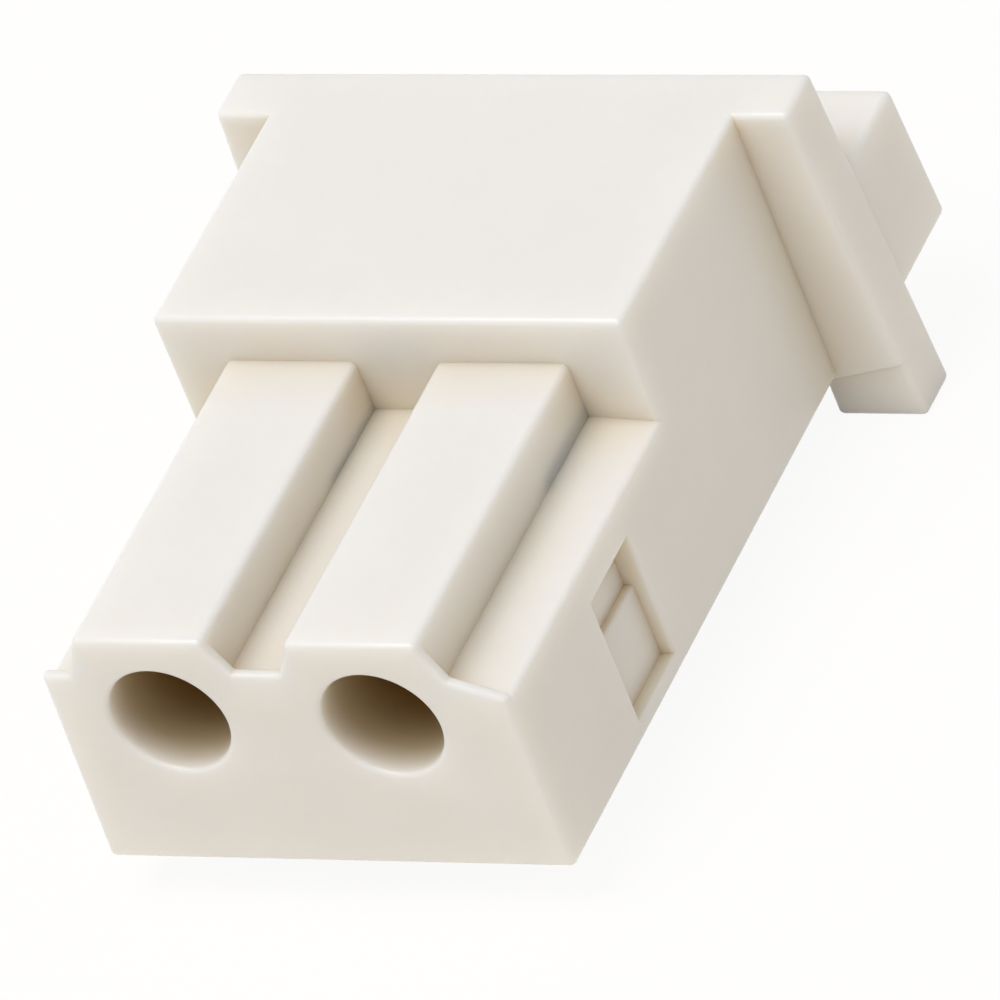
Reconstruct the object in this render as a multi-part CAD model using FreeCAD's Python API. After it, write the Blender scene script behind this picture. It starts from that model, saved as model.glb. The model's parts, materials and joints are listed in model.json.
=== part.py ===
"""Wire to board connector housing: one empty two-circuit moulding, in millimetres.

X runs across the row of circuits, Y from the wire entry face towards the mating end
and Z upwards. The origin lies in the wire entry face, at the middle of the row of
wire holes. Heights are written above the body's underside, and the finished moulding
is lowered so that the axes of the wire holes lie at Z = 0.
"""
import FreeCAD, Part
import os

# Row of circuits
circuits = 2
pitch = 2.5
left_margin = 1.45            # first circuit's axis to the left side face
right_margin = 1.59           # last circuit's axis to the right side face

# Wire entry and contact chamber of each circuit
wire_hole_diameter = 1.35
wire_hole_height = 1.94       # axis above the body's underside
wire_hole_depth = 3.2
entry_rounding = 0.05
chamber_width = 1.45
chamber_floor = 0.95
chamber_roof = 2.45
mouth_width = 1.15
mouth_floor = 0.98
mouth_roof = 1.98
mouth_web = 0.45              # wall between the chamber and the flange's back face
mouth_lead_in = 0.16          # bevel around the mouth

# Lower section at the wire end
lower_length = 4.35
left_inset = 0.05             # its left side face inside the upper block's, at the bottom
left_draft = 0.04             # further inset of that face, per millimetre of height
slot_floor = 2.40             # level between two ridges
left_shoulder_height = 2.40   # level beside the left ridge
shoulder_height = 2.33        # level beside the right ridge
shoulder_fall = 0.06          # drop of the right shoulder to its side face
ridge_width = 1.54
ridge_height = 3.06
lip_length = 0.14             # cross rib at the wire entry face
lip_slot_height = 2.60
lip_shoulder_height = 2.54
lip_shoulder_fall = 0.22      # drop of its right shoulder to the side face
gusset_run = 0.20             # flare of the ridges into the cross rib
gusset_drop = 0.08            # start of the flare below the ridge top

# Upper block
block_length = 3.25
body_height = 3.64

# Flange at the mating end, with a foot under each wing
flange_length = 0.69
wing_overhang = 0.635         # beyond the side face, at the top
wing_flare = 0.23             # extra overhang at the foot's lowest point
foot_drop = 0.59              # below the body's underside
foot_tuck = 0.20              # reach of the foot under the body

# Step across the wire-side face of each flange end, with the foot set back below it
foot_setback = 0.05
step_height = 0.01            # level of the step at the side face
step_rise = 0.23              # its rise outwards, per millimetre

# Mating nose
nose_length = 1.26
nose_floor = 0.64
nose_roof = 2.33
nose_inset = 0.06             # its side faces inside the flange's

# Recess in each side face, deeper in its upper part
recess_start = 2.02
recess_length = 1.02
recess_floor = 0.22
recess_roof = 1.85
recess_ledge = 1.18
recess_depth = 0.17
recess_upper_depth = 0.27

# Softened outer edges
edge_radius = 0.05

# Places that follow from the sizes above
row_half = pitch * (circuits - 1) / 2
circuit_axes = [pitch * index - row_half for index in range(circuits)]
left_side = -row_half - left_margin
right_side = row_half + right_margin
block_start = lower_length
flange_start = block_start + block_length
flange_end = flange_start + flange_length
nose_end = flange_end + nose_length


def box(x_range, y_range, z_range):
    """Return a box that spans the three (low, high) ranges."""
    size = [high - low for low, high in (x_range, y_range, z_range)]
    corner = FreeCAD.Vector(x_range[0], y_range[0], z_range[0])
    return Part.makeBox(*size, corner)


def prism(outline, y_start, y_end):
    """Return the solid that an outline of (x, z) points sweeps along Y."""
    corners = [FreeCAD.Vector(x, y_start, z) for x, z in outline]
    face = Part.Face(Part.makePolygon(corners + corners[:1]))
    return face.extrude(FreeCAD.Vector(0, y_end - y_start, 0))


def stepped_outline(slot_level, left_level, shoulder_level, fall, flare):
    """Return the outline of the lower section, with one ridge over each circuit."""
    outline = [(right_side, 0), (left_side + left_inset, 0)]
    outline += [(left_side + left_inset + left_draft * left_level, left_level)]
    for index, axis in enumerate(circuit_axes):
        left_foot = slot_level if index > 0 else left_level
        right_foot = slot_level if index < circuits - 1 else shoulder_level
        left_wall = axis - ridge_width / 2
        right_wall = axis + ridge_width / 2
        crest = ridge_height - gusset_drop
        outline += [(left_wall - flare, left_foot), (left_wall, crest)]
        outline += [(left_wall, ridge_height), (right_wall, ridge_height)]
        outline += [(right_wall, crest), (right_wall + flare, right_foot)]
    return outline + [(right_side, shoulder_level - fall)]


def lower_section():
    """Return the wire end: the ridged floor and the cross rib at its front."""
    levels = (slot_floor, left_shoulder_height, shoulder_height)
    lip_levels = (lip_slot_height, lip_shoulder_height, lip_shoulder_height)
    floor = stepped_outline(*levels, shoulder_fall, 0)
    rib = stepped_outline(*lip_levels, lip_shoulder_fall, gusset_run)
    return prism(floor, 0, block_start).fuse(prism(rib, 0, lip_length))


def flange_outline(low, high, inset=0):
    """Return the flange's tapered outline between two levels, or one inside it."""
    flare = wing_flare / (body_height + foot_drop)

    def reach(level):
        return wing_overhang + flare * (body_height - level) - inset

    return [
        (left_side - reach(low), low),
        (right_side + reach(low), low),
        (right_side + reach(high), high),
        (left_side - reach(high), high),
    ]


def flange():
    """Return the winged flange with its two feet."""
    plate = prism(flange_outline(-foot_drop, body_height), flange_start, flange_end)
    gap = box(
        (left_side + foot_tuck, right_side - foot_tuck),
        (flange_start, flange_end),
        (-foot_drop, 0),
    )
    return plate.cut(gap)


def foot_step(side, outward):
    """Return the slab that sets one foot's wire-side face back below a slanted line."""
    inner = side - outward * 2 * foot_tuck
    level = step_height - step_rise * 2 * foot_tuck
    span = 2 * foot_tuck + 2 * wing_overhang
    profile = [(0, 0), (foot_setback, 0), (foot_setback, -body_height), (0, -body_height), (0, 0)]
    points = [FreeCAD.Vector(inner, flange_start + y, level + z) for y, z in profile]
    along = FreeCAD.Vector(outward * span, 0, step_rise * span)
    return Part.Face(Part.makePolygon(points)).extrude(along)


def outer_form():
    """Return the housing's outside as one solid, before any opening is cut."""
    block = box((left_side, right_side), (block_start, flange_start), (0, body_height))
    nose = prism(flange_outline(nose_floor, nose_roof, nose_inset), flange_end, nose_end)
    return lower_section().multiFuse([block, flange(), nose]).removeSplitter()


def is_convex(shape, edge):
    """Return whether the two faces beside an edge bend away from each other."""
    faces = shape.ancestorsOfType(edge, Part.Face)
    middle = edge.valueAt((edge.FirstParameter + edge.LastParameter) / 2)
    normals = [face.normalAt(*face.Surface.parameter(middle)) for face in faces]
    probe = middle + (normals[0] - normals[1]) * (edge_radius / 10)
    return not shape.isInside(probe, edge_radius / 1000, True)


def round_outside(shape):
    """Return the shape with its convex edges rounded."""
    edges = [edge for edge in shape.Edges if is_convex(shape, edge)]
    return shape.makeFillet(edge_radius, edges)


def mouth_bevel(axis):
    """Return the funnel that opens the mouth towards the mating face."""
    wires = []
    for y_place, growth in ((nose_end - mouth_lead_in, 0), (nose_end, mouth_lead_in)):
        half = mouth_width / 2 + growth
        low = mouth_floor - growth
        high = mouth_roof + growth
        places = [(-half, low), (half, low), (half, high), (-half, high), (-half, low)]
        points = [FreeCAD.Vector(axis + x, y_place, z) for x, z in places]
        wires.append(Part.makePolygon(points))
    return Part.makeLoft(wires, True)


def wire_entry(axis):
    """Return the round wire hole with its rounded edge at the wire entry face."""
    radius = wire_hole_diameter / 2
    centre = FreeCAD.Vector(axis, 0, wire_hole_height)
    along = FreeCAD.Vector(0, 1, 0)
    hole = Part.makeCylinder(radius, wire_hole_depth, centre, along)
    wide = Part.makeCylinder(radius + entry_rounding, entry_rounding, centre, along)
    ring_centre = centre + along * entry_rounding
    ring = Part.makeTorus(radius + entry_rounding, entry_rounding, ring_centre, along)
    return hole.fuse(wide.cut(ring))


def circuit_cut(axis):
    """Return the passage of one circuit, from wire entry to mouth."""
    across = (axis - chamber_width / 2, axis + chamber_width / 2)
    mouth_start = flange_end - mouth_web
    chamber = box(across, (wire_hole_depth, mouth_start), (chamber_floor, chamber_roof))
    across = (axis - mouth_width / 2, axis + mouth_width / 2)
    mouth = box(across, (mouth_start, nose_end), (mouth_floor, mouth_roof))
    return wire_entry(axis).multiFuse([chamber, mouth, mouth_bevel(axis)])


def side_recess(side, inward):
    """Return the two-level recess cut into one side face."""
    cuts = []
    levels = ((recess_floor, recess_depth), (recess_ledge, recess_upper_depth))
    for low, depth in levels:
        x_range = sorted((side, side + inward * depth))
        y_range = (recess_start, recess_start + recess_length)
        cuts.append(box(x_range, y_range, (low, recess_roof)))
    return cuts[0].fuse(cuts[1])


def housing():
    """Return the whole moulding."""
    cuts = [circuit_cut(axis) for axis in circuit_axes]
    cuts += [side_recess(left_side, 1), side_recess(right_side, -1)]
    cuts += [foot_step(left_side, -1), foot_step(right_side, 1)]
    moulding = round_outside(outer_form()).cut(cuts)
    return moulding.translated(FreeCAD.Vector(0, 0, -wire_hole_height))


os.makedirs("parts", exist_ok=True)
housing().exportStep("parts/housing.step")
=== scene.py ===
"""Looks of a two-circuit wire to board connector housing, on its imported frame.

Every length in a class is in millimetres, measured in the frame's own axes: X across
the row of circuits, Y from the wire entry face to the mating nose, Z upwards, and the
origin between the two wire holes. The meshes are worked at one unit to the
millimetre, where the boolean and bevel tools keep the smallest faces, and the finished
piece is brought down to metres.
"""
from __future__ import annotations

import json
import logging
import math
from dataclasses import dataclass, field
from enum import Enum
from typing import Any, Callable, Iterable

import bpy
from mathutils import Matrix, Vector

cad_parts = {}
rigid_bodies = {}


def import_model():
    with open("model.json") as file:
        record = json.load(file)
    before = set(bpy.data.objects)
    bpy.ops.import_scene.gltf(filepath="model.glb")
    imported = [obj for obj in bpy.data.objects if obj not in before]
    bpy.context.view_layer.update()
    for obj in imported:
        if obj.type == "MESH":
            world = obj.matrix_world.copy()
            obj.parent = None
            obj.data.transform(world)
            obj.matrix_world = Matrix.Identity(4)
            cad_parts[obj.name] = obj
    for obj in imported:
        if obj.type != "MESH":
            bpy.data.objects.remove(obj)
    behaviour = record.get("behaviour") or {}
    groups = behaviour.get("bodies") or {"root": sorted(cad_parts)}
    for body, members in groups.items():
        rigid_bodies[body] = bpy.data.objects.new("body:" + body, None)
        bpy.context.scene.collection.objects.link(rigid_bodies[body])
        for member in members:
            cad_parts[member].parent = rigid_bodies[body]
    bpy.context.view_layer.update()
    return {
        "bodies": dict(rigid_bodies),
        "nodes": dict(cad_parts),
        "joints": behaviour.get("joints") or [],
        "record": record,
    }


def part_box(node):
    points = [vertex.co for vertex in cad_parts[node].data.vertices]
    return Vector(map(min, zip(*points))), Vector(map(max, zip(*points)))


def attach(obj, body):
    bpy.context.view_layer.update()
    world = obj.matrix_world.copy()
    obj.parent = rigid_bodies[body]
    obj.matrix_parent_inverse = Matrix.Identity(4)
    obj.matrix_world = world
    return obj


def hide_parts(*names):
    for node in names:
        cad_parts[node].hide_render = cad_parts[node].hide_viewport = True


LOG = logging.getLogger("housing")
MM = 0.001
NODE = "housing"
BODY = "root"
Range = tuple[float, float]

# Points closer than this are one point, and faces within this angle are one plane
MERGE_MM = 0.002
FLAT_DEGREES = 0.4
# Slack around a region, and slack where places lie closer together
SLACK_MM = 0.01
FINE_MM = 0.0005
# Part of a normal along an axis from which a face looks that way
FACING = 0.9
# Sockets of the colour mix node, whose names repeat: share, first and second colour
MIX_INPUTS = (0, 6, 7)
MIX_RESULT = 2


class Axis(Enum):
    """A level direction of the frame, as the index of its coordinate."""

    X = 0
    Y = 1


class Side(Enum):
    """A side of the housing, as the sign of its outward X."""

    LEFT = -1
    RIGHT = 1


class Join(Enum):
    """What a boolean modifier does with its tool."""

    ADD = "UNION"
    CUT = "DIFFERENCE"


def linear_colour(code: str) -> tuple[float, float, float, float]:
    """Turn an sRGB hex code into the opaque linear colour that a shader takes.

    Args:
        code: Six hex digits after a hash sign.

    Returns:
        Red, green, blue and alpha, from 0 to 1.
    """
    values = [int(code[place:place + 2], 16) / 255 for place in (1, 3, 5)]
    curve = [v / 12.92 if v <= 0.04045 else ((v + 0.055) / 1.055) ** 2.4 for v in values]
    return curve[0], curve[1], curve[2], 1.0


def fill(tree: bpy.types.NodeTree, socket: bpy.types.NodeSocket, value: Any) -> None:
    """Link a socket to another node's output, or set its value.

    Args:
        tree: Node tree of the socket.
        socket: Input that is filled.
        value: An output socket, or a plain value.
    """
    if isinstance(value, bpy.types.NodeSocket):
        tree.links.new(value, socket)
    else:
        socket.default_value = value


def add_node(tree: bpy.types.NodeTree, kind: str, **inputs: Any) -> bpy.types.Node:
    """Add a shader node, set its properties and fill or link its sockets.

    Args:
        tree: Node tree that receives the node.
        kind: Node type, such as "ShaderNodeTexNoise".
        **inputs: A node property by its own name, or a socket by its name with
            spaces as underscores. A socket given as value is linked.

    Returns:
        The new node.
    """
    node = tree.nodes.new(kind)
    for name, value in inputs.items():
        socket = node.inputs.get(name.replace("_", " "))
        if socket is None:
            setattr(node, name, value)
        else:
            fill(tree, socket, value)
    return node


def calculate(
    tree: bpy.types.NodeTree, operation: str, *values: Any, clamp: bool = False
) -> bpy.types.NodeSocket:
    """Add a math node.

    Args:
        tree: Node tree that receives the node.
        operation: Name of the operation.
        *values: Its one or two values, each a socket or a number.
        clamp: Whether the result is kept between 0 and 1.

    Returns:
        The result's socket.
    """
    node = add_node(tree, "ShaderNodeMath", operation=operation, use_clamp=clamp)
    for socket, value in zip(node.inputs, values):
        fill(tree, socket, value)
    return node.outputs[0]


def mix_colours(
    tree: bpy.types.NodeTree, share: Any, first: Any, second: Any, blend: str = "MIX"
) -> bpy.types.NodeSocket:
    """Add a node that mixes two colours.

    Args:
        tree: Node tree that receives the node.
        share: How much of the second colour is used, from 0 to 1.
        first: Colour that is changed.
        second: Colour that changes it.
        blend: Name of the blend type.

    Returns:
        The mixed colour's socket.
    """
    node = add_node(tree, "ShaderNodeMix", data_type="RGBA", blend_type=blend)
    for index, value in zip(MIX_INPUTS, (share, first, second)):
        fill(tree, node.inputs[index], value)
    return node.outputs[MIX_RESULT]


class Bench:
    """Mesh work with the modelling operators, one object at a time."""

    @staticmethod
    def clear_selection() -> None:
        """Leave nothing selected."""
        bpy.ops.object.select_all(action="DESELECT")

    @staticmethod
    def focus(piece: bpy.types.Object) -> None:
        """Make a piece the only selected and active object.

        Args:
            piece: Object to select.
        """
        Bench.clear_selection()
        piece.select_set(True)
        bpy.context.view_layer.objects.active = piece

    @staticmethod
    def snap(piece: bpy.types.Object) -> None:
        """Round every point to a hundredth of a micrometre, so that equal places are equal."""
        for point in piece.data.vertices:
            point.co = [round(value, 5) for value in point.co]

    @staticmethod
    def block(name: str, x: Range, y: Range, z: Range) -> bpy.types.Object:
        """Add a box between low and high corners, with its origin at the frame's.

        Args:
            name: Name of the new object.
            x: Low and high X in millimetres.
            y: Low and high Y in millimetres.
            z: Low and high Z in millimetres.

        Returns:
            The new mesh object.
        """
        Bench.clear_selection()
        spans = (x, y, z)
        middle = [(low + high) / 2 for low, high in spans]
        size = [high - low for low, high in spans]
        bpy.ops.mesh.primitive_cube_add(size=1, location=middle)
        piece = bpy.context.active_object
        piece.name = name
        piece.scale = size
        bpy.ops.object.transform_apply(location=True, rotation=True, scale=True)
        Bench.snap(piece)
        return piece

    @staticmethod
    def split(piece: bpy.types.Object, axis: Axis, places: Iterable[float]) -> None:
        """Cut edge loops into a piece at planes across an axis.

        Args:
            piece: Mesh object to cut.
            axis: Axis that the planes stand across.
            places: Places of the planes in millimetres.
        """
        Bench.focus(piece)
        normal = Vector((0.0, 0.0, 0.0))
        normal[axis.value] = 1.0
        for place in places:
            bpy.ops.object.mode_set(mode="EDIT")
            bpy.ops.mesh.select_all(action="SELECT")
            bpy.ops.mesh.bisect(plane_co=normal * place, plane_no=normal)
            bpy.ops.object.mode_set(mode="OBJECT")
        Bench.snap(piece)

    @staticmethod
    def slice(
        piece: bpy.types.Object,
        test: Callable[[Vector, Vector], bool],
        place: Vector,
        normal: Vector,
    ) -> None:
        """Cut an edge loop into some faces of a piece at one plane.

        Args:
            piece: Mesh object to cut.
            test: Takes a face's centre in millimetres and its normal.
            place: A place on the plane in millimetres.
            normal: The plane's normal.
        """
        Bench.pick(piece, test, "FACE")
        bpy.ops.object.mode_set(mode="EDIT")
        bpy.ops.mesh.bisect(plane_co=place, plane_no=normal)
        bpy.ops.object.mode_set(mode="OBJECT")
        Bench.snap(piece)

    @staticmethod
    def pick(piece: bpy.types.Object, test: Callable[[Vector, Vector], bool], kind: str) -> None:
        """Select the faces or points of a piece that pass a test, and nothing else.

        Args:
            piece: Mesh object.
            test: Takes a place in millimetres and a normal.
            kind: "FACE" or "VERT".
        """
        Bench.focus(piece)
        bpy.context.tool_settings.mesh_select_mode = (kind == "VERT", False, kind == "FACE")
        mesh = piece.data
        for part in (mesh.vertices, mesh.edges, mesh.polygons):
            part.foreach_set("select", [False] * len(part))
        if kind == "FACE":
            for face in mesh.polygons:
                face.select = test(face.center, face.normal)
        else:
            for point in mesh.vertices:
                point.select = test(point.co, point.normal)

    @staticmethod
    def extrude(piece: bpy.types.Object, test: Callable[[Vector, Vector], bool], by: Vector) -> None:
        """Extrude the faces that pass a test.

        Args:
            piece: Mesh object.
            test: Takes a face's centre in millimetres and its normal.
            by: Move of the new faces in millimetres.
        """
        Bench.pick(piece, test, "FACE")
        bpy.ops.object.mode_set(mode="EDIT")
        bpy.ops.mesh.extrude_region_move(TRANSFORM_OT_translate={"value": by})
        bpy.ops.object.mode_set(mode="OBJECT")
        Bench.snap(piece)

    @staticmethod
    def shift(piece: bpy.types.Object, test: Callable[[Vector, Vector], bool], by: Vector) -> None:
        """Move the points that pass a test.

        Args:
            piece: Mesh object.
            test: Takes a point's place in millimetres and its normal.
            by: Move in millimetres.
        """
        Bench.pick(piece, test, "VERT")
        bpy.ops.object.mode_set(mode="EDIT")
        bpy.ops.transform.translate(value=by)
        bpy.ops.object.mode_set(mode="OBJECT")
        Bench.snap(piece)

    @staticmethod
    def apply(piece: bpy.types.Object, kind: str, **settings: Any) -> None:
        """Add a modifier with its settings and apply it.

        Args:
            piece: Mesh object.
            kind: Modifier type.
            **settings: Properties of the modifier.
        """
        Bench.focus(piece)
        modifier = piece.modifiers.new(kind.title(), kind)
        for name, value in settings.items():
            setattr(modifier, name, value)
        bpy.ops.object.modifier_apply(modifier=modifier.name)

    @staticmethod
    def join(piece: bpy.types.Object, tool: bpy.types.Object, how: Join) -> None:
        """Add a tool to a piece or cut it out, and delete the tool.

        Args:
            piece: Mesh object that stays.
            tool: Mesh object that is used up.
            how: Whether the tool is added or cut out.
        """
        Bench.apply(piece, "BOOLEAN", object=tool, operation=how.value, solver="EXACT")
        bpy.data.objects.remove(tool, do_unlink=True)

    @staticmethod
    def round_convex(
        piece: bpy.types.Object,
        radius: float,
        share: Callable[[Vector], float],
        steps: int,
        sharp_degrees: float,
    ) -> None:
        """Round the edges where two faces bend away from each other.

        Args:
            piece: Mesh object.
            radius: Widest rounding in millimetres.
            share: Takes the middle of an edge and gives its share of that width.
            steps: Number of strips across each rounding.
            sharp_degrees: Bend from which an edge counts.
        """
        mesh = piece.data
        beside: dict[tuple[int, int], list[int]] = {}
        for face in mesh.polygons:
            for key in face.edge_keys:
                beside.setdefault(key, []).append(face.index)
        weights = mesh.attributes.new("bevel_weight_edge", "FLOAT", "EDGE")
        for edge in mesh.edges:
            first, second = (mesh.polygons[index] for index in beside[edge.key])
            bend = first.normal.angle(second.normal)
            outward = first.normal.cross(second.normal).dot(Bench.heading(mesh, first, edge)) > 0
            if outward and math.degrees(bend) > sharp_degrees:
                ends = [mesh.vertices[index].co for index in edge.vertices]
                weights.data[edge.index].value = share((ends[0] + ends[1]) / 2)
        Bench.apply(
            piece,
            "BEVEL",
            width=radius,
            segments=steps,
            limit_method="WEIGHT",
            use_clamp_overlap=False,
        )

    @staticmethod
    def heading(mesh: bpy.types.Mesh, face: bpy.types.MeshPolygon, edge: bpy.types.MeshEdge) -> Vector:
        """Return the direction in which a face's outline runs along an edge.

        Args:
            mesh: Mesh that both belong to.
            face: Face beside the edge.
            edge: Edge of the face.

        Returns:
            A vector as long as the edge.
        """
        order = list(face.vertices)
        first, second = edge.vertices
        forward = order[(order.index(first) + 1) % len(order)] == second
        run = mesh.vertices[second].co - mesh.vertices[first].co
        return run if forward else -run

    @staticmethod
    def to_metres(piece: bpy.types.Object) -> None:
        """Bring a finished mesh from a unit a millimetre down to the frame's metres.

        Args:
            piece: Mesh object.
        """
        Bench.focus(piece)
        bpy.ops.object.mode_set(mode="EDIT")
        bpy.ops.mesh.select_all(action="SELECT")
        bpy.ops.transform.resize(value=(MM, MM, MM), center_override=(0.0, 0.0, 0.0))
        bpy.ops.object.mode_set(mode="OBJECT")

    @staticmethod
    def keep_within(piece: bpy.types.Object, low: Iterable[float], high: Iterable[float]) -> None:
        """Bring points that a rounding left a hair outside a box in metres back to its faces.

        Args:
            piece: Mesh object in metres.
            low: Lowest corner of the box.
            high: Highest corner of the box.
        """
        corners = list(zip(low, high))
        for point in piece.data.vertices:
            point.co = [min(max(v, least), most) for v, (least, most) in zip(point.co, corners)]

    @staticmethod
    def clean(piece: bpy.types.Object) -> None:
        """Merge doubled points and join faces that lie in one plane.

        Args:
            piece: Mesh object.
        """
        Bench.focus(piece)
        bpy.ops.object.mode_set(mode="EDIT")
        bpy.ops.mesh.select_all(action="SELECT")
        bpy.ops.mesh.remove_doubles(threshold=MERGE_MM)
        bpy.ops.mesh.dissolve_limited(angle_limit=math.radians(FLAT_DEGREES))
        bpy.ops.mesh.select_all(action="SELECT")
        bpy.ops.mesh.normals_make_consistent(inside=False)
        bpy.ops.object.mode_set(mode="OBJECT")


def near(value: float, place: float, reach: float = 0.004) -> bool:
    """Return whether a value lies at a place, within a few micrometres."""
    return abs(value - place) < reach


def in_mm(metres: float) -> float:
    """Turn metres into millimetres, to the micrometre."""
    return round(metres / MM, 3)


@dataclass(frozen=True)
class Layout:
    """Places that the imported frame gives, in millimetres."""

    axes: tuple[float, ...]
    hole_radius: float
    underside: float
    top: float
    flange_end: float
    nose_end: float
    lowest: float

    @classmethod
    def from_frame(cls, frame: dict[str, Any]) -> Layout:
        """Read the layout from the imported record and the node's box.


        Returns:
            The layout of this housing.
        """
        mounts = {mount["name"]: mount for mount in frame["record"]["mounts"]}
        holes = [mounts["wire_hole_left"], mounts["wire_hole_right"]]
        low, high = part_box(NODE)
        return cls(
            axes=tuple(hole["pos_m"][0] / MM for hole in holes),
            hole_radius=holes[0]["dims"]["r_mm"],
            underside=in_mm(mounts["underside"]["pos_m"][2]),
            top=in_mm(high[2]),
            flange_end=in_mm(mounts["nose_stop"]["pos_m"][1]),
            nose_end=in_mm(high[1]),
            lowest=in_mm(low[2]),
        )


@dataclass
class Body:
    """The outline that the wire end and the upper block share."""

    layout: Layout
    left_margin: float = 1.45
    right_margin: float = 1.59
    flange_length: float = 0.69
    weld: float = 0.10

    @property
    def sides(self) -> Range:
        """Return the X of the left and the right side face."""
        return self.layout.axes[0] - self.left_margin, self.layout.axes[-1] + self.right_margin

    @property
    def flange_start(self) -> float:
        """Return the Y of the flange's front face."""
        return self.layout.flange_end - self.flange_length

    def side_face(self, side: Side) -> float:
        """Return the X of one side face."""
        return self.sides[0 if side is Side.LEFT else 1]

    def level(self, height: float) -> float:
        """Return the Z of a height above the underside."""
        return self.layout.underside + height


@dataclass
class WireEnd:
    """The low section at the wire entry: ridges, floors and the rib across the front."""

    body: Body
    length: float = 4.35
    left_inset: float = 0.05
    left_draft: float = 0.04
    slot_floor: float = 2.40
    left_shoulder_height: float = 2.40
    shoulder_height: float = 2.33
    shoulder_fall: float = 0.06
    ridge_width: float = 1.54
    ridge_height: float = 3.06
    rib_length: float = 0.14
    rib_slot_height: float = 2.60
    rib_shoulder_height: float = 2.54
    rib_shoulder_fall: float = 0.22
    gusset_run: float = 0.20
    gusset_drop: float = 0.08

    @property
    def sides(self) -> Range:
        """Return the X of this section's own side faces, at the bottom."""
        left, right = self.body.sides
        return left + self.left_inset, right

    def build(self) -> bpy.types.Object:
        """Build the low section.

        Returns:
            One closed mesh, which runs a little way into the upper block.
        """
        piece = self.floor()
        Bench.join(piece, self.rib(), Join.ADD)
        Bench.clean(piece)
        self.lean_left(piece)
        return piece

    def lean_left(self, piece: bpy.types.Object) -> None:
        """Lean the left side face inwards, in one plane over the floor and the rib.

        Args:
            piece: The joined section, with an upright left side face.
        """
        left = self.sides[0]
        for height in (self.left_shoulder_height, self.rib_shoulder_height):
            level = self.body.level(height)
            Bench.shift(
                piece,
                lambda at, _: near(at.x, left) and near(at.z, level),
                Vector((self.left_draft * height, 0.0, 0.0)),
            )

    def strip(self, x: float, growth: float) -> bool:
        """Return whether an X lies on a ridge that is wider by a growth each side."""
        half = self.ridge_width / 2 + growth
        return any(abs(x - axis) < half for axis in self.body.layout.axes)

    def walls(self, growth: float) -> list[float]:
        """Return the X of every ridge wall, moved outwards by a growth."""
        half = self.ridge_width / 2 + growth
        return [axis + sign * half for axis in self.body.layout.axes for sign in (-1, 1)]

    def lower_shoulders(
        self, piece: bpy.types.Object, top: float, growth: float, drops: Range, fall: float
    ) -> None:
        """Set the floors beside the outer ridges.

        Args:
            piece: Mesh whose upper points are moved.
            top: Z of the floor as it stands.
            growth: How far the floor's inner line lies outside the ridge wall.
            drops: Drop of the left and of the right shoulder.
            fall: Further drop of the right one at its side face.
        """
        left, right = self.sides
        walls = self.walls(growth)
        amounts = (drops[0], drops[0], drops[1], drops[1] + fall)
        for place, amount in zip((left, walls[0], walls[-1], right), amounts):
            Bench.shift(
                piece,
                lambda at, _: near(at.x, place) and near(at.z, top),
                Vector((0.0, 0.0, -amount)),
            )

    def floor(self) -> bpy.types.Object:
        """Build the section behind the rib, with upright ridge walls.

        Returns:
            A closed mesh with upright side faces.
        """
        body = self.body
        top = body.level(self.slot_floor)
        y = (0.0, self.length + body.weld)
        piece = Bench.block("wire_end", self.sides, y, (body.layout.underside, top))
        Bench.split(piece, Axis.X, self.walls(0.0))
        rise = Vector((0.0, 0.0, self.ridge_height - self.slot_floor))
        Bench.extrude(piece, lambda at, n: near(at.z, top) and self.strip(at.x, 0.0), rise)
        drops = (self.slot_floor - self.left_shoulder_height, self.slot_floor - self.shoulder_height)
        self.lower_shoulders(piece, top, 0.0, drops, self.shoulder_fall)
        return piece

    def rib(self) -> bpy.types.Object:
        """Build the rib across the wire entry face, with the ridges' flared feet.

        Returns:
            A closed mesh with upright side faces.
        """
        body = self.body
        run = self.gusset_run
        top = body.level(self.rib_slot_height)
        crest = body.level(self.ridge_height - self.gusset_drop)
        y = (0.0, self.rib_length)
        piece = Bench.block("rib", self.sides, y, (body.layout.underside, top))
        Bench.split(piece, Axis.X, self.walls(run))
        Bench.extrude(
            piece,
            lambda at, _: near(at.z, top) and self.strip(at.x, run),
            Vector((0.0, 0.0, crest - top)),
        )
        for index, place in enumerate(self.walls(run)):
            inward = run if index % 2 == 0 else -run
            Bench.shift(
                piece,
                lambda at, _: near(at.x, place) and near(at.z, crest),
                Vector((inward, 0.0, 0.0)),
            )
        Bench.extrude(piece, lambda at, _: near(at.z, crest), Vector((0.0, 0.0, self.gusset_drop)))
        drop = self.rib_slot_height - self.rib_shoulder_height
        self.lower_shoulders(piece, top, run, (drop, drop), self.rib_shoulder_fall)
        return piece


@dataclass
class UpperBlock:
    """The tall block between the ridges and the flange."""

    body: Body
    start: float = 4.35

    def build(self) -> bpy.types.Object:
        """Build the block.

        Returns:
            A closed mesh, which runs a little way into the flange.
        """
        body = self.body
        y = (self.start, body.flange_start + body.weld)
        return Bench.block("upper_block", body.sides, y, (body.layout.underside, body.layout.top))


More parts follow.
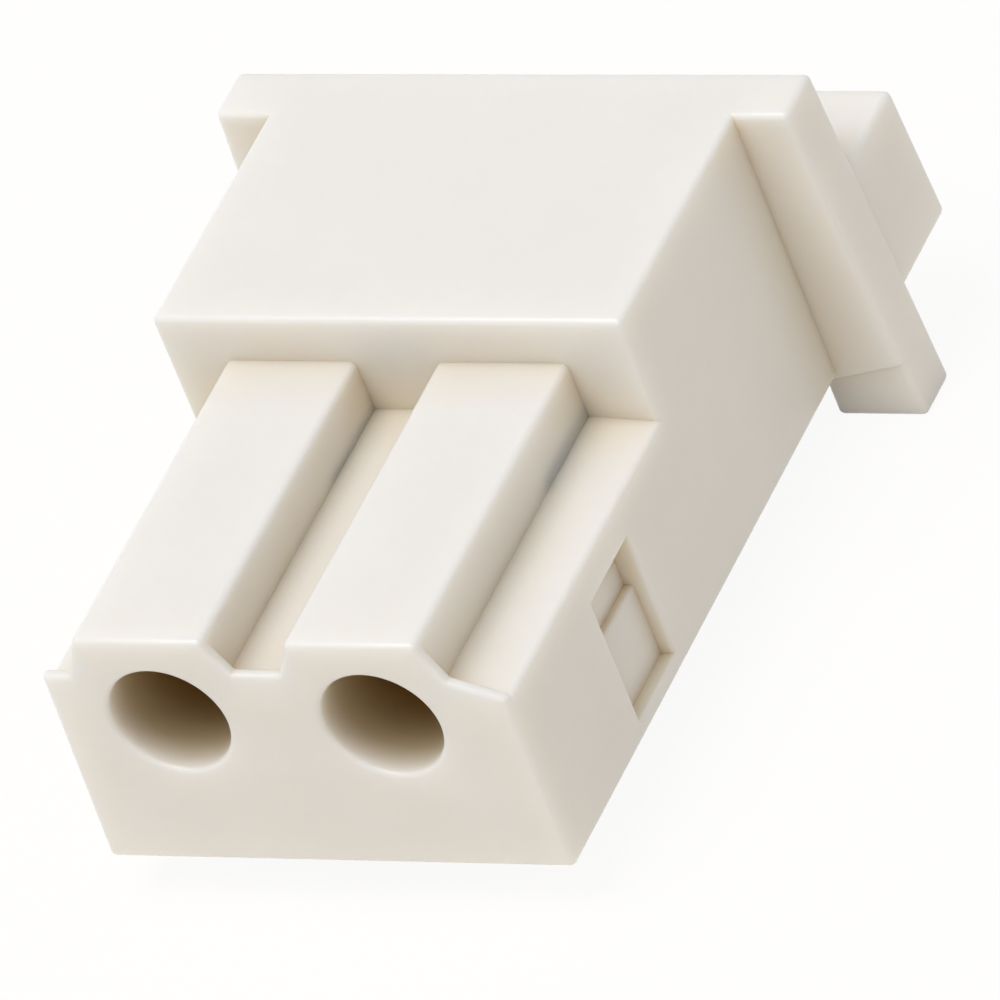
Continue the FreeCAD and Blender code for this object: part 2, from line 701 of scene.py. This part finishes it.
@dataclass
class WingedFlange:
    """The flange with its two flared wings, their feet and the mating nose."""

    body: Body
    wing_overhang: float = 0.635
    wing_flare: float = 0.23
    foot_tuck: float = 0.20
    foot_setback: float = 0.05
    step_height: float = 0.01
    step_rise: float = 0.23
    step_rounding: float = 0.03
    step_rounding_parts: int = 3
    nose_floor: float = 0.64
    nose_roof: float = 2.33
    nose_inset: float = 0.06

    def reach(self, z: float) -> float:
        """Return how far the wings stand out of the side faces at a level."""
        layout = self.body.layout
        return self.wing_overhang + self.wing_flare * (layout.top - z) / (layout.top - layout.lowest)

    def build(self) -> bpy.types.Object:
        """Build the flange, its feet and the nose.

        Returns:
            One closed mesh.
        """
        body = self.body
        layout = body.layout
        y = (body.flange_start, layout.flange_end)
        left, right = body.sides
        wide = self.reach(layout.top)
        piece = Bench.block("flange", (left - wide, right + wide), y, (layout.lowest, layout.top))
        growth = self.reach(layout.lowest) - wide
        for side in Side:
            Bench.shift(
                piece,
                lambda at, _: near(at.z, layout.lowest) and at.x * side.value > 0,
                Vector((side.value * growth, 0.0, 0.0)),
            )
        Bench.join(piece, self.nose(), Join.ADD)
        gap = Bench.block(
            "foot_gap",
            (left + self.foot_tuck, right - self.foot_tuck),
            (y[0] - body.weld, y[1] + body.weld),
            (layout.lowest - body.weld, layout.underside),
        )
        Bench.join(piece, gap, Join.CUT)
        return piece

    def nose(self) -> bpy.types.Object:
        """Build the mating nose, whose sides follow the wings' flare a little inside it.

        Returns:
            A closed mesh, which runs a little way into the flange.
        """
        body = self.body
        layout = body.layout
        left, right = body.sides
        z = (body.level(self.nose_floor), body.level(self.nose_roof))
        wide, narrow = (self.reach(level) - self.nose_inset for level in z)
        y = (layout.flange_end - body.weld, layout.nose_end)
        piece = Bench.block("nose", (left - wide, right + wide), y, z)
        for side in Side:
            Bench.shift(
                piece,
                lambda at, _: near(at.z, z[1]) and at.x * side.value > 0,
                Vector((side.value * (narrow - wide), 0.0, 0.0)),
            )
        return piece

    def step_profile(self) -> list[Range]:
        """Work out the rounded step at the top of each foot.

        Returns:
            Pairs of a drop below the step's line and the distance set back there.
        """
        radius, parts = self.step_rounding, self.step_rounding_parts
        turns = [math.pi / 2 * part / parts for part in range(parts + 1)]
        profile = [(radius * math.sin(turn), radius * (1 - math.cos(turn))) for turn in turns]
        return profile + [(radius + MERGE_MM, self.foot_setback)]

    def on_end(self, side: Side, at: Vector, last: float) -> bool:
        """Tell whether a place is on one end of the flange.

        Args:
            side: Which end.
            at: The place in millimetres.
            last: Y that the place has to lie in front of.

        Returns:
            True from the foot's inner face outwards.
        """
        body = self.body
        inner = body.side_face(side) - side.value * (self.foot_tuck + SLACK_MM)
        outward = (at.x - inner) * side.value > 0
        return outward and body.flange_start - MERGE_MM < at.y < last - MERGE_MM

    def set_feet_back(self, piece: bpy.types.Object) -> None:
        """Set the front face of each foot back, below a rounded step that slants outwards.

        Args:
            piece: The whole moulding, with its outer edges rounded.
        """
        body = self.body
        start, end = body.flange_start, body.layout.flange_end
        halfway = (start + end) / 2
        profile = self.step_profile()
        for side in Side:
            normal = Vector((-side.value * self.step_rise, 0.0, 1.0)).normalized()
            crest = Vector((body.side_face(side), start, body.level(self.step_height)))
            for drop, _ in profile:
                place = crest - normal * drop
                Bench.slice(piece, lambda at, _: self.on_end(side, at, end), place, normal)
            so_far = 0.0
            for drop, setback in profile[1:]:
                Bench.shift(
                    piece,
                    lambda at, _: self.on_end(side, at, halfway)
                    and (at - crest).dot(normal) < FINE_MM - drop,
                    Vector((0.0, setback - so_far, 0.0)),
                )
                so_far = setback


@dataclass
class SideRecess:
    """The two-level recess in each side face."""

    body: Body
    start: float = 2.02
    length: float = 1.02
    floor: float = 0.22
    roof: float = 1.85
    ledge: float = 1.18
    depth: float = 0.17
    upper_depth: float = 0.27

    def holds(self, place: Vector) -> bool:
        """Tell whether a place lies between the ends and the levels of the recesses.

        Args:
            place: The place in millimetres.

        Returns:
            True also at the recesses' own outline.
        """
        low, high = self.body.level(self.floor), self.body.level(self.roof)
        along = self.start - SLACK_MM < place.y < self.start + self.length + SLACK_MM
        return along and low - SLACK_MM < place.z < high + SLACK_MM

    def cutter(self, side: Side) -> bpy.types.Object:
        """Return the solid that is cut out of one side face.

        Args:
            side: Side face that the recess is in.

        Returns:
            A closed mesh with both levels of the recess.
        """
        face = self.body.side_face(side)
        outside = face + side.value * self.body.weld
        y = (self.start, self.start + self.length)
        tools = []
        for low, depth in ((self.floor, self.depth), (self.ledge, self.upper_depth)):
            x = sorted((face - side.value * depth, outside))
            z = (self.body.level(low), self.body.level(self.roof))
            tools.append(Bench.block("recess_tool", (x[0], x[1]), y, z))
        Bench.join(tools[0], tools[1], Join.ADD)
        return tools[0]


@dataclass
class ContactPassage:
    """The way through the housing from a wire hole to its mouth in the nose."""

    body: Body
    hole_depth: float = 3.2
    rounding: float = 0.06
    chamber_width: float = 1.45
    chamber_floor: float = 0.95
    chamber_roof: float = 2.45
    mouth_width: float = 1.15
    mouth_floor: float = 0.98
    mouth_roof: float = 1.98
    mouth_web: float = 0.45
    lead_in: float = 0.16
    sides: int = 160
    rounding_steps: int = 6

    def cutter(self, axis: float) -> bpy.types.Object:
        """Return the solid that opens one circuit's passage.

        Args:
            axis: X of the circuit.

        Returns:
            A closed mesh.
        """
        body = self.body
        mouth_start = body.layout.flange_end - self.mouth_web
        half = self.chamber_width / 2
        tool = self.wire_hole(axis)
        chamber = Bench.block(
            "chamber_tool",
            (axis - half, axis + half),
            (self.hole_depth, mouth_start),
            (body.level(self.chamber_floor), body.level(self.chamber_roof)),
        )
        Bench.join(tool, chamber, Join.ADD)
        Bench.join(tool, self.mouth(axis, mouth_start - body.weld), Join.ADD)
        return tool

    def wire_hole(self, axis: float) -> bpy.types.Object:
        """Build the round hole's tool, flared at its entry like a rounded edge.

        Args:
            axis: X of the circuit.

        Returns:
            A closed mesh.
        """
        radius = self.body.layout.hole_radius
        Bench.clear_selection()
        depth = self.hole_depth + self.body.weld
        bpy.ops.mesh.primitive_cylinder_add(
            vertices=self.sides,
            radius=radius,
            depth=depth,
            location=(axis, depth / 2, 0.0),
            rotation=(math.pi / 2, 0.0, 0.0),
        )
        tool = bpy.context.active_object
        tool.name = "wire_hole_tool"
        bpy.ops.object.transform_apply(location=True, rotation=True, scale=True)
        centre = Vector((axis, 0.0, 0.0))
        places = [
            self.rounding * (1 - math.cos(math.pi / 2 * step / self.rounding_steps))
            for step in range(1, self.rounding_steps + 1)
        ]
        Bench.split(tool, Axis.Y, places)
        for place in [0.0] + places[:-1]:
            inward = self.rounding - place
            spread = self.rounding - math.sqrt(self.rounding**2 - inward**2)
            scale = (radius + spread) / radius
            Bench.pick(tool, lambda at, _: near(at.y, place, FINE_MM), "VERT")
            bpy.ops.object.mode_set(mode="EDIT")
            bpy.ops.transform.resize(value=(scale, 1.0, scale), center_override=centre)
            bpy.ops.object.mode_set(mode="OBJECT")
        Bench.extrude(tool, lambda _, n: n.y < -FACING, Vector((0.0, -self.body.weld, 0.0)))
        return tool

    def mouth(self, axis: float, start: float) -> bpy.types.Object:
        """Build the tool of the square mouth with its lead-in bevel.

        Args:
            axis: X of the circuit.
            start: Y where the tool begins.

        Returns:
            A closed mesh.
        """
        body = self.body
        end = body.layout.nose_end
        half = self.mouth_width / 2
        low, high = body.level(self.mouth_floor), body.level(self.mouth_roof)
        tool = Bench.block("mouth_tool", (axis - half, axis + half), (start, end), (low, high))
        Bench.split(tool, Axis.Y, [end - self.lead_in])
        middle = Vector((axis, end, (low + high) / 2))
        grown = [1 + 2 * self.lead_in / span for span in (self.mouth_width, high - low)]
        Bench.pick(tool, lambda at, _: near(at.y, end), "VERT")
        bpy.ops.object.mode_set(mode="EDIT")
        bpy.ops.transform.resize(value=(grown[0], 1.0, grown[1]), center_override=middle)
        bpy.ops.object.mode_set(mode="OBJECT")
        Bench.extrude(tool, lambda _, n: n.y > FACING, Vector((0.0, body.weld, 0.0)))
        return tool


@dataclass(frozen=True)
class PaintedShade:
    """A painted shade: a run of tints that multiply a colour, by place on a ramp from 0 to 1."""

    ramp: tuple[tuple[float, str], ...]

    def over(
        self,
        tree: bpy.types.NodeTree,
        colour: bpy.types.NodeSocket,
        place: bpy.types.NodeSocket,
        share: bpy.types.NodeSocket | float = 1.0,
    ) -> bpy.types.NodeSocket:
        """Multiply a colour by the tint at a place of the ramp.

        Args:
            tree: Node tree of the material.
            colour: Colour that is tinted.
            place: Place on the ramp.
            share: How much of the tint is used, from 0 to 1.

        Returns:
            The tinted colour's socket.
        """
        tint = add_node(tree, "ShaderNodeValToRGB", Fac=place)
        stops = tint.color_ramp.elements
        while len(stops) < len(self.ramp):
            stops.new(0.5)
        for stop, (position, code) in zip(stops, self.ramp):
            stop.position, stop.color = position, linear_colour(code)
        return mix_colours(tree, share, colour, tint.outputs["Color"], "MULTIPLY")


@dataclass(frozen=True)
class NaturalNylon:
    """Uncoloured polyamide, injection moulded in a fine spark-eroded tool.

    It is a milky ivory with a satin skin. Light enters it and comes out warmer, so
    edges glow a little. Enclosed corners and the wire holes get painted shade, tan and then brown.
    """

    ivory: str = "#ECE8E3"
    milky: str = "#F0EEEA"
    roughness: float = 0.32
    ior: float = 1.53
    scatter_mm: float = 0.38
    scatter_spread: tuple[float, float, float] = (1.0, 0.92, 0.80)
    # Painted shade in the corners, tinted by how enclosed a place is
    corner: PaintedShade = PaintedShade(((0.0, "#E6D6B8"), (0.5, "#F7F2E7"), (1.0, "#FFFFFF")))
    corner_shade_mm: float = 0.8
    # Painted shade down the wire holes, tinted by depth
    hole: PaintedShade = PaintedShade(((0.04, "#FFFFFF"), (0.35, "#E0D2B4"), (0.9, "#BF9E69")))
    hole_shade_mm: float = 1.2
    hole_edge_mm: Range = (0.02, 0.06)
    hole_end_mm: float = 3.2
    cloud_mm: float = 1.1
    grain_mm: float = 0.05
    grain_height_mm: float = 0.0012
    grain_strength: float = 0.5

    def material(self, layout: Layout) -> bpy.types.Material:
        """Return the material, made of nodes on Object coordinates.

        Args:
            layout: Where the wire holes are.

        Returns:
            The new material.
        """
        material = bpy.data.materials.new("natural_nylon_moulding")
        material.use_nodes = True
        tree = material.node_tree
        tree.nodes.clear()
        place = add_node(tree, "ShaderNodeTexCoord").outputs["Object"]
        skin = add_node(
            tree,
            "ShaderNodeBsdfPrincipled",
            Base_Color=self.colour(tree, place, layout),
            Roughness=self.roughness,
            IOR=self.ior,
            Subsurface_Weight=1.0,
            Subsurface_Radius=self.scatter_spread,
            Subsurface_Scale=self.scatter_mm * MM,
            Normal=self.relief(tree, place),
        )
        add_node(tree, "ShaderNodeOutputMaterial", Surface=skin.outputs["BSDF"])
        return material

    def colour(
        self, tree: bpy.types.NodeTree, place: bpy.types.NodeSocket, layout: Layout
    ) -> bpy.types.NodeSocket:
        """Return the cloudy ivory, with painted shade: tan in the corners and brown down the wire
        holes.

        Args:
            tree: Node tree of the material.
            place: Object coordinates.
            layout: Where the wire holes are.

        Returns:
            A colour socket.
        """
        # Clouds a millimetre across, from uneven crystals under the skin
        clouds = add_node(
            tree, "ShaderNodeTexNoise", Vector=place, Scale=1 / (self.cloud_mm * MM), Detail=3.0
        )
        ends = (linear_colour(self.ivory), linear_colour(self.milky))
        milk = mix_colours(tree, clouds.outputs["Fac"], *ends)
        # Painted shade: corners are tinted tan by how enclosed they are, in place of light that has
        # bounced many times there
        open_share = add_node(
            tree,
            "ShaderNodeAmbientOcclusion",
            samples=2,
            only_local=True,
            Distance=self.corner_shade_mm * MM,
        )
        colour = self.corner.over(tree, milk, open_share.outputs["AO"])
        # Painted shade: the wire holes turn brown with depth, in place of the dark down a hole
        axes = add_node(tree, "ShaderNodeSeparateXYZ", Vector=place)
        depth = add_node(tree, "ShaderNodeMapRange", Value=axes.outputs["Y"])
        depth.inputs["From Max"].default_value = self.hole_shade_mm * MM
        within = self.within_hole(tree, axes, layout)
        return self.hole.over(tree, colour, depth.outputs["Result"], within)

    def within_hole(
        self, tree: bpy.types.NodeTree, axes: bpy.types.Node, layout: Layout
    ) -> bpy.types.NodeSocket:
        """Return 1 inside the wire holes and 0 outside them, where their painted shade goes.

        Args:
            tree: Node tree of the material.
            axes: Node with the X, Y and Z of the Object coordinates.
            layout: Where the wire holes are.

        Returns:
            A value socket.
        """
        mirrored = calculate(tree, "ABSOLUTE", axes.outputs["X"])
        across = calculate(tree, "SUBTRACT", mirrored, layout.axes[-1] * MM)
        offset = add_node(tree, "ShaderNodeCombineXYZ", X=across, Z=axes.outputs["Z"])
        away = add_node(
            tree, "ShaderNodeVectorMath", operation="LENGTH", Vector=offset.outputs["Vector"]
        )
        fade = add_node(tree, "ShaderNodeMapRange", Value=away.outputs["Value"])
        start, end = ((layout.hole_radius + edge) * MM for edge in self.hole_edge_mm)
        for name, value in (("From Min", start), ("From Max", end), ("To Min", 1.0), ("To Max", 0.0)):
            fade.inputs[name].default_value = value
        ahead = calculate(tree, "LESS_THAN", axes.outputs["Y"], self.hole_end_mm * MM)
        return calculate(tree, "MULTIPLY", fade.outputs["Result"], ahead)

    def relief(self, tree: bpy.types.NodeTree, place: bpy.types.NodeSocket) -> bpy.types.NodeSocket:
        """Return the fine grain that the eroded tool leaves in the skin.

        Args:
            tree: Node tree of the material.
            place: Object coordinates.

        Returns:
            A normal socket.
        """
        grain = add_node(
            tree, "ShaderNodeTexNoise", Vector=place, Scale=1 / (self.grain_mm * MM), Detail=2.0
        )
        bump = add_node(
            tree,
            "ShaderNodeBump",
            Strength=self.grain_strength,
            Distance=self.grain_height_mm * MM,
            Height=grain.outputs["Fac"],
        )
        return bump.outputs["Normal"]


@dataclass
class Housing:
    """The whole moulding, built from its forms and rounded as one piece."""

    layout: Layout
    edge_radius: float = 0.075
    rib_radius: float = 0.05
    recess_radius: float = 0.04
    step_radius: float = 0.035
    flange_back_radius: float = 0.05
    edge_steps: int = 4
    sharp_degrees: float = 20.0
    smooth_degrees: float = 35.0
    finish: NaturalNylon = field(default_factory=NaturalNylon)

    def build(self) -> bpy.types.Object:
        """Build the moulding, finish it and hand it to the frame.

        Returns:
            The finished housing, in metres.
        """
        body = Body(self.layout)
        piece = WireEnd(body).build()
        LOG.info("wire end: %d faces", len(piece.data.polygons))
        Bench.join(piece, UpperBlock(body).build(), Join.ADD)
        flange = WingedFlange(body)
        Bench.join(piece, flange.build(), Join.ADD)
        for side in Side:
            Bench.join(piece, SideRecess(body).cutter(side), Join.CUT)
        Bench.clean(piece)
        LOG.info("outer form: %d faces", len(piece.data.polygons))
        Bench.round_convex(
            piece, self.edge_radius, self.rounding_share, self.edge_steps, self.sharp_degrees
        )
        flange.set_feet_back(piece)
        for axis in self.layout.axes:
            Bench.join(piece, ContactPassage(body).cutter(axis), Join.CUT)
        # Faces with many corners split cleanly only while a unit is a millimetre
        Bench.apply(piece, "TRIANGULATE", min_vertices=5)
        Bench.to_metres(piece)
        Bench.keep_within(piece, *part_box(NODE))
        self.shade(piece)
        piece.name = "nylon_housing"
        piece.data.materials.clear()
        piece.data.materials.append(self.finish.material(self.layout))
        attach(piece, BODY)
        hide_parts(NODE)
        LOG.info("housing: %d faces", len(piece.data.polygons))
        return piece

    def rounding_share(self, middle: Vector) -> float:
        """Return which share of the full rounding an edge takes, from its middle.

        Args:
            middle: Middle of the edge in millimetres.

        Returns:
            Less than 1 on the thin rib, around the recesses, at the left step and
            beside the nose.
        """
        body = Body(self.layout)
        wire_end = WireEnd(body)
        outside = max(body.sides[0] - middle.x, middle.x - body.sides[1])
        radius = self.edge_radius
        if middle.y < wire_end.rib_length + radius and middle.z > 0:
            radius = self.rib_radius
        elif SideRecess(body).holds(middle):
            radius = self.recess_radius
        elif near(middle.y, wire_end.length) and middle.x < wire_end.sides[0] + radius:
            radius = self.step_radius
        elif near(middle.y, self.layout.flange_end) and outside > WingedFlange(body).wing_overhang:
            radius = self.flange_back_radius
        return radius / self.edge_radius

    def shade(self, piece: bpy.types.Object) -> None:
        """Smooth the rounded edges and keep the large faces flat."""
        Bench.focus(piece)
        bpy.ops.object.shade_smooth_by_angle(angle=math.radians(self.smooth_degrees))
        Bench.apply(piece, "WEIGHTED_NORMAL", keep_sharp=True, weight=50)


@dataclass
class Studio:
    """A plain white floor, a soft lamp overhead and even light all round."""

    layout: Layout
    floor_half_mm: float = 400.0
    floor_colour: str = "#FBF4E8"
    floor_glow: float = 0.92
    white: str = "#FFFFFF"
    sky_strength: float = 0.45
    key_place_mm: tuple[float, float, float] = (-35.0, -60.0, 230.0)
    key_size_mm: float = 160.0
    key_power: float = 0.37

    def build(self) -> None:
        """Add the floor, the lamp and the world."""
        self.floor()
        self.key()
        self.world()

    def seen(self, tree: bpy.types.NodeTree) -> bpy.types.NodeSocket:
        """Find the rays that show the background: to the camera, in gloss and in glass.

        Args:
            tree: Node tree that asks.

        Returns:
            A socket that is 1 for those rays and 0 for the others.
        """
        rays = add_node(tree, "ShaderNodeLightPath")
        total = rays.outputs["Is Camera Ray"]
        for name in ("Is Glossy Ray", "Is Transmission Ray"):
            total = calculate(tree, "ADD", total, rays.outputs[name], clamp=True)
        return total

    def mixed(
        self,
        tree: bpy.types.NodeTree,
        share: bpy.types.NodeSocket,
        lit: bpy.types.Node,
        shown: bpy.types.Node,
    ) -> bpy.types.NodeSocket:
        """Mix what lights the scene with what a background ray shows.

        Args:
            tree: Node tree that both shaders are in.
            share: Share of the shown shader.
            lit: Shader that the other rays meet.
            shown: Shader that a background ray meets.

        Returns:
            The mixed shader's socket.
        """
        mix = add_node(tree, "ShaderNodeMixShader")
        tree.links.new(share, mix.inputs[0])
        tree.links.new(lit.outputs[0], mix.inputs[1])
        tree.links.new(shown.outputs[0], mix.inputs[2])
        return mix.outputs[0]

    def floor(self) -> None:
        """Add the floor under the housing's lowest point."""
        Bench.clear_selection()
        place = (0.0, 0.0, self.layout.lowest * MM)
        bpy.ops.mesh.primitive_plane_add(size=2 * self.floor_half_mm * MM, location=place)
        floor = bpy.context.active_object
        floor.name = "studio_floor"
        material = bpy.data.materials.new("matt_white_floor")
        material.use_nodes = True
        tree = material.node_tree
        tree.nodes.clear()
        paint = add_node(tree, "ShaderNodeBsdfDiffuse", Color=linear_colour(self.floor_colour))
        glow = add_node(tree, "ShaderNodeEmission", Color=linear_colour(self.white))
        share = calculate(tree, "MULTIPLY", self.seen(tree), self.floor_glow)
        surface = self.mixed(tree, share, paint, glow)
        add_node(tree, "ShaderNodeOutputMaterial", Surface=surface)
        floor.data.materials.append(material)

    def key(self) -> None:
        """Add the soft lamp over the housing."""
        Bench.clear_selection()
        place = Vector(self.key_place_mm) * MM
        aim = Vector((0.0, self.layout.nose_end / 2 * MM, 0.0)) - place
        turn = aim.to_track_quat("-Z", "Y").to_euler()
        bpy.ops.object.light_add(type="AREA", location=place, rotation=turn)
        lamp = bpy.context.active_object
        lamp.name = "key_lamp"
        lamp.data.shape = "SQUARE"
        lamp.data.size = self.key_size_mm * MM
        lamp.data.energy = self.key_power

    def world(self) -> None:
        """Light the scene evenly, and show white behind it."""
        world = bpy.data.worlds.new("studio_sky")
        bpy.context.scene.world = world
        world.use_nodes = True
        tree = world.node_tree
        tree.nodes.clear()
        colour = linear_colour(self.white)
        ambient = add_node(tree, "ShaderNodeBackground", Color=colour, Strength=self.sky_strength)
        shown = add_node(tree, "ShaderNodeBackground", Color=colour, Strength=1.0)
        surface = self.mixed(tree, self.seen(tree), ambient, shown)
        add_node(tree, "ShaderNodeOutputWorld", Surface=surface)


@dataclass(frozen=True)
class PhotoCamera:
    """A long lens at the photograph's angle, rolled as the photograph is."""

    azimuth: float = 36.31
    elevation: float = 36.14
    roll: float = 22.67
    distance_mm: float = 206.5
    focal_length: float = 720.0
    sensor: float = 36.0
    target_mm: tuple[float, float, float] = (1.460, 3.120, 0.319)
    clip_mm: Range = (10.0, 5000.0)

    def build(self) -> bpy.types.Object:
        """Add the camera and make it the scene's own.

        Returns:
            The new camera.
        """
        around, up = math.radians(self.azimuth), math.radians(self.elevation)
        level = math.cos(up)
        back = Vector((math.sin(around) * level, -math.cos(around) * level, math.sin(up)))
        turn = (-back).to_track_quat("-Z", "Y").to_matrix()
        turn = turn @ Matrix.Rotation(math.radians(-self.roll), 3, "Z")
        place = (Vector(self.target_mm) + back * self.distance_mm) * MM
        Bench.clear_selection()
        bpy.ops.object.camera_add(location=place, rotation=turn.to_euler())
        camera = bpy.context.active_object
        camera.name = "photo_camera"
        camera.data.lens = self.focal_length
        camera.data.sensor_width = self.sensor
        camera.data.clip_start, camera.data.clip_end = (place * MM for place in self.clip_mm)
        bpy.context.scene.camera = camera
        return camera


def main() -> None:
    """Build the housing and its studio."""
    logging.basicConfig(level=logging.INFO, format="%(name)s: %(message)s")
    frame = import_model()
    layout = Layout.from_frame(frame)
    Housing(layout).build()
    Studio(layout).build()
    PhotoCamera().build()
    bpy.context.scene.view_settings.view_transform = "Standard"


if __name__ == "__main__":
    main()
